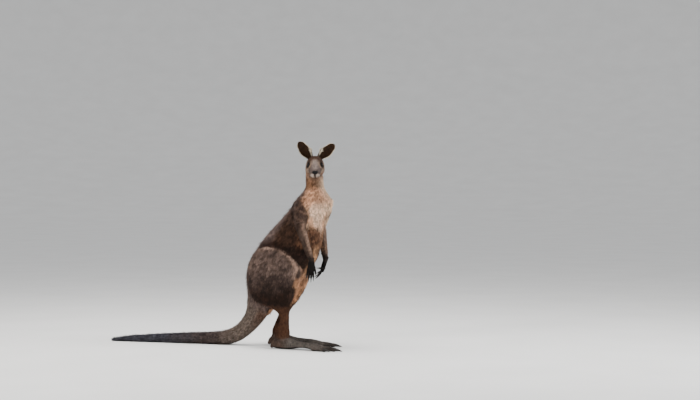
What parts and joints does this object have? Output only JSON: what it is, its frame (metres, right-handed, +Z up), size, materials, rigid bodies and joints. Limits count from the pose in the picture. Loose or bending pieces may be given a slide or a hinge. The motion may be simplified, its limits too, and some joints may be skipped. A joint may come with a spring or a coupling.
{
  "type": "eastern grey kangaroo",
  "caption": "Life-size still model of an eastern grey kangaroo standing upright on its feet, head turned to its right, long tail laid on the floor behind.",
  "frame": {"origin": "centre of the whole model's bounding box in X and Y, on the floor that the feet and tail rest on", "axes": "+X the way the hind feet and body point, +Y the animal's left, +Z up"},
  "size_m": [1.4034, 0.3486, 1.1015],
  "materials": {
    "abdomen": "short grey-brown fur",
    "chest": "short pale buff fur",
    "ear_left": "thin skin with very short fur",
    "ear_right": "thin skin with very short fur",
    "eye_left": "wet dark brown eyeball",
    "eye_right": "wet dark brown eyeball",
    "finger_claw_fifth_left": "horn, satin black",
    "finger_claw_fifth_right": "horn, satin black",
    "finger_claw_first_left": "horn, satin black",
    "finger_claw_first_right": "horn, satin black",
    "finger_claw_fourth_left": "horn, satin black",
    "finger_claw_fourth_right": "horn, satin black",
    "finger_claw_second_left": "horn, satin black",
    "finger_claw_second_right": "horn, satin black",
    "finger_claw_third_left": "horn, satin black",
    "finger_claw_third_right": "horn, satin black",
    "foot_left": "short near-black fur",
    "foot_right": "short near-black fur",
    "forearm_left": "short grey-brown fur",
    "forearm_right": "short grey-brown fur",
    "hand_left": "short near-black fur",
    "hand_right": "short near-black fur",
    "head": "very short grey-brown fur",
    "neck": "short grey-brown fur",
    "nose": "bare black nose leather",
    "pelvis": "short grey-brown fur",
    "shank_left": "short grey-brown fur",
    "shank_right": "short grey-brown fur",
    "tail_bend": "short grey-brown fur",
    "tail_lower": "short dark grey-brown fur",
    "tail_middle": "short dark grey-brown fur",
    "tail_root": "short grey-brown fur",
    "tail_tip": "short near-black fur",
    "tail_upper": "short dark grey-brown fur",
    "thigh_left": "short grey-brown fur",
    "thigh_right": "short grey-brown fur",
    "toe_claw_fifth_left": "horn, satin black",
    "toe_claw_fifth_right": "horn, satin black",
    "toe_claw_fourth_left": "horn, satin black",
    "toe_claw_fourth_right": "horn, satin black",
    "toe_claw_second_left": "horn, satin black",
    "toe_claw_second_right": "horn, satin black",
    "toe_claw_third_left": "horn, satin black",
    "toe_claw_third_right": "horn, satin black",
    "upper_arm_left": "short grey-brown fur",
    "upper_arm_right": "short grey-brown fur"
  },
  "bodies": {
    "root": {"abdomen": "abdomen", "chest": "chest", "ear_left": "ear_left", "ear_right": "ear_right", "eye_left": "eye_left", "eye_right": "eye_right", "finger_claw_fifth_left": "finger_claw_fifth_left", "finger_claw_fifth_right": "finger_claw_fifth_right", "finger_claw_first_left": "finger_claw_first_left", "finger_claw_first_right": "finger_claw_first_right", "finger_claw_fourth_left": "finger_claw_fourth_left", "finger_claw_fourth_right": "finger_claw_fourth_right", "finger_claw_second_left": "finger_claw_second_left", "finger_claw_second_right": "finger_claw_second_right", "finger_claw_third_left": "finger_claw_third_left", "finger_claw_third_right": "finger_claw_third_right", "foot_left": "foot_left", "foot_right": "foot_right", "forearm_left": "forearm_left", "forearm_right": "forearm_right", "hand_left": "hand_left", "hand_right": "hand_right", "head": "head", "neck": "neck", "nose": "nose", "pelvis": "pelvis", "shank_left": "shank_left", "shank_right": "shank_right", "tail_bend": "tail_bend", "tail_lower": "tail_lower", "tail_middle": "tail_middle", "tail_root": "tail_root", "tail_tip": "tail_tip", "tail_upper": "tail_upper", "thigh_left": "thigh_left", "thigh_right": "thigh_right", "toe_claw_fifth_left": "toe_claw_fifth_left", "toe_claw_fifth_right": "toe_claw_fifth_right", "toe_claw_fourth_left": "toe_claw_fourth_left", "toe_claw_fourth_right": "toe_claw_fourth_right", "toe_claw_second_left": "toe_claw_second_left", "toe_claw_second_right": "toe_claw_second_right", "toe_claw_third_left": "toe_claw_third_left", "toe_claw_third_right": "toe_claw_third_right", "upper_arm_left": "upper_arm_left", "upper_arm_right": "upper_arm_right"}
  },
  "joints": []
}
